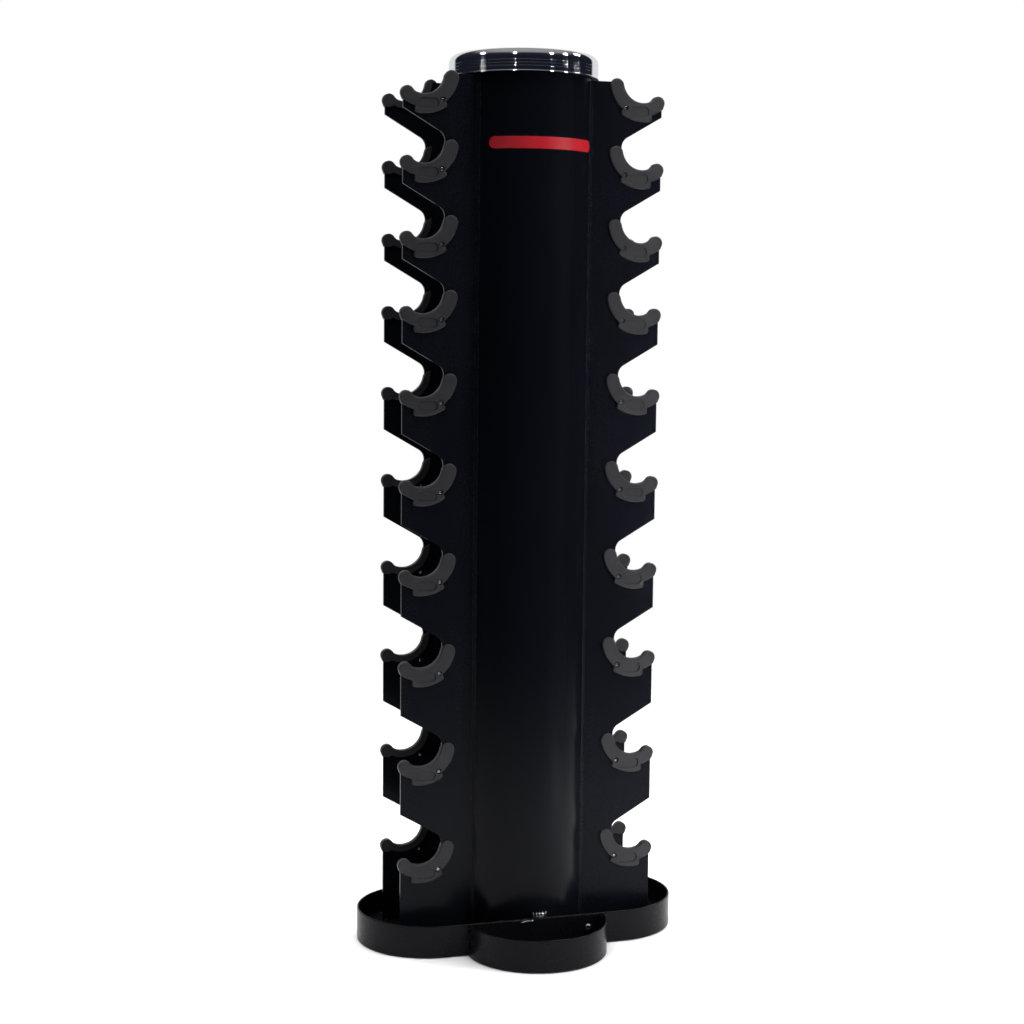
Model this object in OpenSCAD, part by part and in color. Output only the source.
// Upright rack for ten pairs of short dumbbells.
// A round steel column stands in a low tray. Four flat saddle plates run up its sides, and each
// hook cut in a plate carries a moulded pad. A dumbbell's handle lies across a front hook and the
// rear hook behind it. Lengths are in millimetres, and +Z is up.
// The origin is on the ground, under the middle of the column. -Y is the front.

/* [Column] */
// Outer diameter of the column
column_d = 198; // [190:1:198]
// Wall thickness of the column
column_wall = 3; // [2:0.5:4]

/* [Saddle plates] */
// Thickness of the saddle plates
plate_t = 4; // [3:0.5:5]
// Distance from the centre to the middle of a front or rear plate
plate_y = 53.5; // [45:0.5:60]
// Half-width of the rack over the plates' outer edges
plate_reach = 189.4; // [186:0.2:194]
// Height of the plates' top edge
plate_top = 1236; // [1234:1:1237]

/* [Hooks] */
// Height of the topmost cradle's centre
top_cradle_z = 1238; // [1237:0.5:1240]
// Distance from the rack's centre to a cradle's centre
cradle_x = 160.6; // [159:0.2:162]
// Radius of the cradle cut in the plate, under its pad
cradle_r = 34; // [33:0.5:34]
// Slope of the plate's edge under each hook
under_slope = 30; // [28:1:32]

/* [Pads] */
// Radius of the pad's surface that the handle lies on
pad_r = 30; // [29:0.5:30.5]
// Thickness of the pad's outer flank
flank_t = 3.5; // [2.5:0.5:4]
// Thickness of the pad's inner lip
lip_t = 2.5; // [2:0.5:3]

/* [Base] */
// Width of the main tray
tray_w = 475; // [460:1:490]
// Depth of the main tray
tray_d = 206; // [206:1:212]
// Height of the trays' rim above the ground
tray_h = 46.5; // [40:0.5:55]
// Thickness of the trays' sheet steel
sheet_t = 2.5; // [2:0.5:2.5]
// Radius of the half-round trays in front and behind
lobe_r = 101.5; // [96:0.5:104]

/* [Cap] */
// Outer diameter of the cap
cap_d = 213.6; // [212:0.2:216]
// Height of the cap's upright band
cap_band = 23; // [18:1:26]
// Height of the cap's crown above its band
cap_crown = 12; // [10:1:14]

/* [Hidden] */
$fn = 96;

// Each step goes from one hook down to the next, and grows with the dumbbells' heads.
hook_steps = [94, 103, 103, 116, 126, 127, 130, 142, 143];
hook_count = len(hook_steps) + 1;
hooks = [1:hook_count];

function drop(n) = n == 0 ? 0 : hook_steps[n - 1] + drop(n - 1);
function cradle_z(hook) = top_cradle_z - drop(hook - 1);
function polar(r, a) = [r * cos(a), r * sin(a)];
function two_digits(n) = n < 10 ? str("0", n) : str(n);

// The four plates: name, side in X, side in Y
PLATES = [
    ["front_left", -1, -1],
    ["front_right", 1, -1],
    ["rear_left", -1, 1],
    ["rear_right", 1, 1],
];

function pad_name(plate, hook) = str("saddle_pad_", plate[0], "_", two_digits(hook));

gap = 0.1;            // clearance between curved faces that fit together
foot_proud = 1;       // how far the feet stand below the trays
floor_z = 8;          // underside of the trays' floors
floor_top = floor_z + sheet_t;
column_r = column_d / 2;
column_bore_r = column_r - column_wall;

// One hook, seen from the front on the right: its origin is the cradle's centre, x is outward.
edge_x = plate_reach - cradle_x;   // the plate's outer edge
tip_r = 9.5;                       // the pad's round tip
tip_at = [edge_x - 5.8, -29.5];    // centre of the hook's tip
steel_tip_r = edge_x - tip_at[0];  // the plate's own tip, inside the pad's
corner_z = 44.6;                   // where the next hook's edge turns under, above the cradle
throat_x = -31;                    // innermost wall of the notch, above the pad
throat_r = 16;                     // rounding between that wall and the slope
ledge_z = -4;                      // the pad's inner arm butts against the plate here
arm_r = 50.5;                      // outer radius of the pad's inner arm
tip_arm_r = 48.5;                  // outer radius of its shorter arm, to the tip
belly_r = 57.2;                    // outer radius of the pad's deeper middle
arm_from = 190.5;                  // angles of the arms and of the middle, about the cradle
arm_to = 303;
belly_from = 233;
belly_to = 285;
lip_r = 40;                        // outer radius of the pad's inner lip
oval_at = [-6.5, -42.6];           // shallow oval pocket in the flank
oval_size = [31, 15];
oval_deep = 0.8;
screw_at = polar(46.2, 235);       // the pad's one screw
screw_r = 2;
screw_head_r = 3.2;
screw_head_h = 2;
screw_recess_r = 3.9;
screw_recess = 2;

// Base
tray_wall_x = tray_w / 2;
tray_wall_y = tray_d / 2;
lobe_joint_x = 78;    // the bolts that hold a half-round tray to the main tray
lobe_joint_z = 27.5;
joint_bolt_r = 3;
foot_r = 17;
foot_spots = [for (x = [-185, 185], y = [-50, 50]) [x, y], [0, -165], [0, 165]];
foot_hole_r = 2.2;
anchor_r = 66;        // circle of the bolts under the column
anchor_bolt_r = 4;
anchor_turns = [45:90:315];
foot_plate_t = 6;
clip_wire_r = 1;      // spring clips: a wire coil on the rim, with a leg down each side
clip_coil_r = 3.7;
clip_coil_x = -7;     // the coil's left end
clip_coil_w = 23;
clip_leg = 18;

// Cap
cap_r = cap_d / 2;
cap_z = 1239;         // the cap's lower rim
cap_wall = 1.5;
column_top = cap_z + cap_band - 2;

// ---- Shared shapes ----

// Stands a flat shape up, facing the front, from y back to y + depth
module upright(y, depth) {
    translate([0, y + depth, 0]) rotate([90, 0, 0]) linear_extrude(depth) children();
}

// Pie slice between two angles
module slice(r, a0, a1) {
    steps = ceil((a1 - a0) / 30);
    intersection() {
        circle(r);
        polygon(concat([[0, 0]], [for (i = [0:steps]) polar(r * 1.1, a0 + (a1 - a0) * i / steps)]));
    }
}

// Flat bar with round ends
module slot_shape(size) {
    r = size[1] / 2;
    square([size[0] - 2 * r, size[1]], center = true);
    for (side = [-1, 1]) translate([side * (size[0] / 2 - r), 0]) circle(r);
}

// Moves a hook's pieces to one of the four plates
module at_hook(plate, hook) {
    translate([plate[1] * cradle_x, plate[2] * plate_y, cradle_z(hook)])
        mirror([plate[1] < 0 ? 1 : 0, 0, 0])
            mirror([0, plate[2] > 0 ? 1 : 0, 0])
                children();
}

// ---- Saddle plates ----

// What is cut away above one hook, less the clearance given
module notch(inset = 0) {
    slope = [cos(under_slope), sin(under_slope)];
    normal = [slope[1], -slope[0]];
    corner = [edge_x, corner_z];
    throat_c = [throat_x + throat_r, corner_z + (throat_x + throat_r * (1 - slope[1]) - edge_x)
        * slope[1] / slope[0] + throat_r * normal[1]];
    bend = throat_c - (throat_r - gap / 2) * normal;
    out = 12;
    difference() {
        union() {
            intersection() {
                circle(cradle_r - inset);
                translate([-50, -50]) square([90, 50 + ledge_z]);
            }
            translate(throat_c) circle(throat_r);
            polygon([throat_c, bend, corner + slope * out, [edge_x + out, tip_at[1]], tip_at]);
        }
        translate(tip_at) circle(steel_tip_r + inset);
    }
}

// Outline of the right-hand plate
module plate_outline() {
    difference() {
        translate([column_r * 0.7, floor_top])
            square([plate_reach - column_r * 0.7, plate_top - floor_top]);
        for (hook = hooks) translate([cradle_x, cradle_z(hook)]) notch();
    }
}

module saddle_plate(plate) {
    color([0.05, 0.05, 0.06])
    difference() {
        mirror([plate[1] < 0 ? 1 : 0, 0, 0])
            upright(plate[2] * plate_y - plate_t / 2, plate_t) plate_outline();
        translate([0, 0, -1]) cylinder(h = plate_top + 10, r = column_r + gap);
        for (hook = hooks)
            at_hook(plate, hook) pad_screw_hole(screw_r + gap);
    }
}

// ---- Pads ----

module pad_screw_hole(r) {
    translate([screw_at[0], 0, screw_at[1]]) rotate([90, 0, 0])
        cylinder(h = 3 * plate_t + 2 * flank_t, r = r, center = true);
}

// Outline of the outer flank: two arms, a deeper middle and round ends
module flank_outline() {
    end_r = (arm_r - pad_r) / 2 + 0.2;
    difference() {
        union() {
            slice(arm_r, arm_from, belly_from + 5);
            slice(tip_arm_r, belly_from, arm_to);
            slice(belly_r, belly_from, belly_to);
            translate(polar((pad_r + arm_r) / 2, arm_from)) circle(end_r);
        }
        circle(pad_r);
    }
    translate(tip_at) circle(tip_r);
}

// The steel that the pad's slot goes over
module slot_outline() {
    difference() {
        translate([-60, -80]) square([60 + edge_x + gap, 100]);
        notch(inset = gap);
    }
}

// What is left off behind the steel, where the pad has only a narrow lip
module lip_trim() {
    difference() {
        circle(80);
        circle(lip_r);
        translate(tip_at) circle(tip_r + 0.6);
    }
}

module saddle_pad() {
    front = -plate_t / 2 - flank_t;
    color([0.22, 0.22, 0.23])
    difference() {
        upright(front, flank_t + plate_t + lip_t) flank_outline();
        upright(-plate_t / 2, plate_t) slot_outline();
        upright(-plate_t / 2, plate_t + lip_t + 1) lip_trim();
        pad_screw_hole(screw_r + gap);
        translate([screw_at[0], front + screw_recess, screw_at[1]])
            rotate([90, 0, 0]) cylinder(h = flank_t, r = screw_recess_r);
        upright(front - 1, 1 + oval_deep) translate(oval_at) slot_shape(oval_size);
    }
}

module saddle_screws() {
    color([0.75, 0.75, 0.78])
    for (plate = PLATES, hook = hooks)
        at_hook(plate, hook)
            translate([screw_at[0], -plate_t / 2 - flank_t + screw_recess, screw_at[1]])
                rotate([-90, 0, 0]) {
                    cylinder(h = flank_t + plate_t + 1, r = screw_r);
                    translate([0, 0, -screw_head_h]) cylinder(h = screw_head_h, r = screw_head_r);
                }
}

// ---- Column ----

module column_tube() {
    color([0.04, 0.04, 0.05])
    translate([0, 0, floor_top])
        difference() {
            cylinder(h = column_top - floor_top, r = column_r);
            translate([0, 0, -1]) cylinder(h = column_top, r = column_bore_r);
        }
}

// Round plate welded inside the column's lower end
module column_foot_plate() {
    color([0.1, 0.1, 0.11])
    translate([0, 0, floor_top])
        difference() {
            cylinder(h = foot_plate_t, r = column_bore_r - gap);
            translate([0, 0, -1]) cylinder(h = foot_plate_t + 2, r = 25);
            at_anchors() translate([0, 0, -1]) cylinder(h = foot_plate_t + 2, r = anchor_bolt_r + gap);
        }
}

module at_anchors() {
    for (a = anchor_turns) translate([anchor_r * cos(a), anchor_r * sin(a), 0]) children();
}

module column_bolts() {
    head_h = 4.5;
    shank = sheet_t + foot_plate_t + 9;
    color([0.7, 0.7, 0.72])
    at_anchors() translate([0, 0, floor_z]) {
        cylinder(h = shank, r = anchor_bolt_r);
        translate([0, 0, -head_h]) cylinder(h = head_h, r = 7.5, $fn = 6);
    }
}

module column_nuts() {
    flange_h = 1.6;
    nut_h = 6.8;
    color([0.7, 0.7, 0.72])
    at_anchors() translate([0, 0, floor_top + foot_plate_t])
        difference() {
            union() {
                cylinder(h = flange_h, r = 8.8);
                cylinder(h = nut_h, r = 7.5, $fn = 6);
            }
            translate([0, 0, -1]) cylinder(h = nut_h + 2, r = anchor_bolt_r + gap);
        }
}

// One bead along the outer side of each plate's joint with the column
module plate_welds() {
    leg = 4;
    color([0.05, 0.05, 0.06])
    for (plate = PLATES)
        mirror([plate[1] < 0 ? 1 : 0, 0, 0]) mirror([0, plate[2] < 0 ? 1 : 0, 0])
            translate([0, 0, floor_top])
                linear_extrude(plate_top - floor_top - 1)
                    difference() {
                        translate([sqrt(pow(column_r, 2) - pow(plate_y + plate_t / 2, 2)),
                                   plate_y + plate_t / 2])
                            circle(leg, $fn = 12);
                        circle(column_r + gap / 2, $fn = 240);
                        translate([column_r * 0.5, plate_y - plate_t]) square([column_r, plate_t * 1.5]);
                    }
}

// ---- Base ----

// Plan of the main tray, drawn in by the inset
module tray_plan(inset = 0) {
    r = tray_wall_y - inset;
    square([tray_w - 2 * tray_wall_y, 2 * r], center = true);
    for (side = [-1, 1]) translate([side * (tray_wall_x - tray_wall_y), 0]) circle(r);
}

// Plan of the front half-round tray, drawn in by the inset
module lobe_plan(inset = 0) {
    difference() {
        translate([0, -tray_wall_y]) circle(lobe_r - inset);
        translate([-lobe_r - 1, -tray_wall_y - inset]) square([2 * lobe_r + 2, lobe_r + inset + 1]);
    }
}

// Holes for the bolts that join the half-round trays to the main tray
module joint_holes() {
    for (x = [-lobe_joint_x, lobe_joint_x], side = [-1, 1])
        translate([x, side * tray_wall_y, lobe_joint_z]) rotate([90, 0, 0])
            cylinder(h = 4 * sheet_t, r = joint_bolt_r + gap, center = true);
}

module foot_holes() {
    for (spot = foot_spots)
        translate([spot[0], spot[1], floor_z - 1]) cylinder(h = sheet_t + 2, r = foot_hole_r + gap);
}

module main_tray() {
    color([0.07, 0.07, 0.08])
    difference() {
        union() {
            translate([0, 0, foot_proud])
                linear_extrude(tray_h - foot_proud)
                    difference() {
                        tray_plan();
                        tray_plan(sheet_t);
                    }
            translate([0, 0, floor_z]) linear_extrude(sheet_t) tray_plan(sheet_t / 2);
        }
        at_anchors() translate([0, 0, floor_z - 1]) cylinder(h = sheet_t + 2, r = anchor_bolt_r + gap);
        foot_holes();
        joint_holes();
    }
}

module front_tray() {
    color([0.07, 0.07, 0.08])
    difference() {
        union() {
            translate([0, 0, foot_proud])
                linear_extrude(tray_h - foot_proud)
                    difference() {
                        lobe_plan();
                        lobe_plan(sheet_t);
                    }
            translate([0, 0, floor_z]) linear_extrude(sheet_t) lobe_plan(sheet_t / 2);
        }
        foot_holes();
        joint_holes();
    }
}

module rear_tray() {
    mirror([0, 1, 0]) front_tray();
}

// Moves a joint's pieces to each bolt: +Z then points out of the half-round tray's back wall
module at_joints() {
    for (x = [-lobe_joint_x, lobe_joint_x], side = [-1, 1])
        mirror([0, side > 0 ? 1 : 0, 0])
            translate([x, -tray_wall_y, lobe_joint_z]) rotate([90, 0, 0]) children();
}

module tray_bolts() {
    head_h = 3.3;
    reach = 6;
    color([0.78, 0.78, 0.8])
    at_joints() {
        translate([0, 0, -sheet_t - reach]) cylinder(h = 2 * sheet_t + reach, r = joint_bolt_r);
        translate([0, 0, sheet_t]) cylinder(h = head_h, r1 = 5.6, r2 = 3.6);
    }
}

module tray_nuts() {
    nut_h = 4.8;
    color([0.78, 0.78, 0.8])
    at_joints()
        translate([0, 0, -sheet_t - nut_h])
            difference() {
                cylinder(h = nut_h, r = 5.6, $fn = 6);
                translate([0, 0, -1]) cylinder(h = nut_h + 2, r = joint_bolt_r + gap);
            }
}

// Spring clips on the doubled wall, in front of and behind the column
module tray_clips() {
    coil_z = tray_h + clip_coil_r + clip_wire_r + gap;
    bend_z = tray_h - 2.5;
    color([0.8, 0.8, 0.82])
    for (turn = [0, 180]) rotate([0, 0, turn])
        translate([clip_coil_x, -tray_wall_y, 0]) {
            translate([0, 0, coil_z]) rotate([0, 90, 0])
                difference() {
                    cylinder(h = clip_coil_w, r = clip_coil_r + clip_wire_r + gap);
                    translate([0, 0, -1]) cylinder(h = clip_coil_w + 2, r = clip_coil_r - clip_wire_r - gap);
                }
            translate([clip_wire_r + gap, -clip_coil_r, 0]) clip_wire_leg(bend_z, coil_z, -1);
            translate([clip_coil_w - clip_wire_r - gap, clip_coil_r, 0]) clip_wire_leg(bend_z, coil_z, 1);
        }
}

// Wire from the coil down a wall, and then along it
module clip_wire_leg(bend_z, top, side) {
    translate([0, 0, bend_z]) {
        cylinder(h = top - bend_z, r = clip_wire_r);
        sphere(clip_wire_r);
        rotate([0, side * 90, 0]) cylinder(h = clip_leg, r = clip_wire_r);
    }
}

module rubber_feet() {
    color([0.12, 0.12, 0.12])
    for (spot = foot_spots)
        translate([spot[0], spot[1], 0])
            difference() {
                union() {
                    cylinder(h = 1, r1 = foot_r - 1, r2 = foot_r);
                    translate([0, 0, 1]) cylinder(h = floor_z - 1, r = foot_r);
                }
                translate([0, 0, -1]) cylinder(h = 4, r = 5.5);
                cylinder(h = floor_z + 1, r = foot_hole_r + gap);
            }
}

module foot_screws() {
    head_h = 2;
    head_z = 3;
    color([0.7, 0.7, 0.72])
    for (spot = foot_spots)
        translate([spot[0], spot[1], head_z]) {
            translate([0, 0, -head_h]) cylinder(h = head_h, r = 4.2);
            cylinder(h = floor_top - head_z + 4, r = foot_hole_r);
        }
}

// ---- Cap ----

// Moulded ring that centres the cap on the column
module cap_insert() {
    color([0.1, 0.1, 0.1])
    translate([0, 0, cap_z + 1])
        difference() {
            cylinder(h = cap_band - 4, r = cap_r - cap_wall - gap);
            translate([0, 0, -1]) cylinder(h = cap_band, r = column_r + gap);
        }
}

// Pressed cap: an upright band, a rounded shoulder and a shallow crown
module top_cap() {
    shoulder = 8;
    color([0.9, 0.9, 0.92])
    translate([0, 0, cap_z])
        rotate_extrude()
            difference() {
                cap_section(cap_r, cap_band, cap_crown, shoulder);
                cap_section(cap_r - cap_wall, cap_band - cap_wall / 2, cap_crown - cap_wall / 2,
                            shoulder - cap_wall);
                translate([0, -2]) square([cap_r, 2]);
            }
}

// Half of the cap's outline: the crown is a flat dome that meets the shoulder's arc
module cap_section(r, band, crown, shoulder) {
    top = crown - shoulder;
    rim = r - shoulder;
    dome_r = (pow(rim, 2) + pow(top, 2)) / (2 * top);
    translate([0, -1]) square([r, band + 1]);
    translate([0, band - 0.5]) square([rim, shoulder + 0.5]);
    intersection() {
        translate([rim, band]) circle(shoulder);
        translate([rim - 1, band - 1]) square([shoulder + 1, shoulder + 1]);
    }
    intersection() {
        translate([0, band + crown - dome_r]) circle(dome_r);
        translate([0, band + shoulder - 1]) square([rim, top + 1]);
    }
}

// ---- What is drawn ----

main_tray();
front_tray();
rear_tray();
tray_bolts();
tray_nuts();
tray_clips();
rubber_feet();
foot_screws();
column_tube();
column_foot_plate();
column_bolts();
column_nuts();
saddle_plate(PLATES[0]);  // saddle_plate_front_left
saddle_plate(PLATES[1]);  // saddle_plate_front_right
saddle_plate(PLATES[2]);  // saddle_plate_rear_left
saddle_plate(PLATES[3]);  // saddle_plate_rear_right
plate_welds();
saddle_screws();
cap_insert();
top_cap();
for (plate = PLATES, hook = hooks)
    at_hook(plate, hook) saddle_pad();
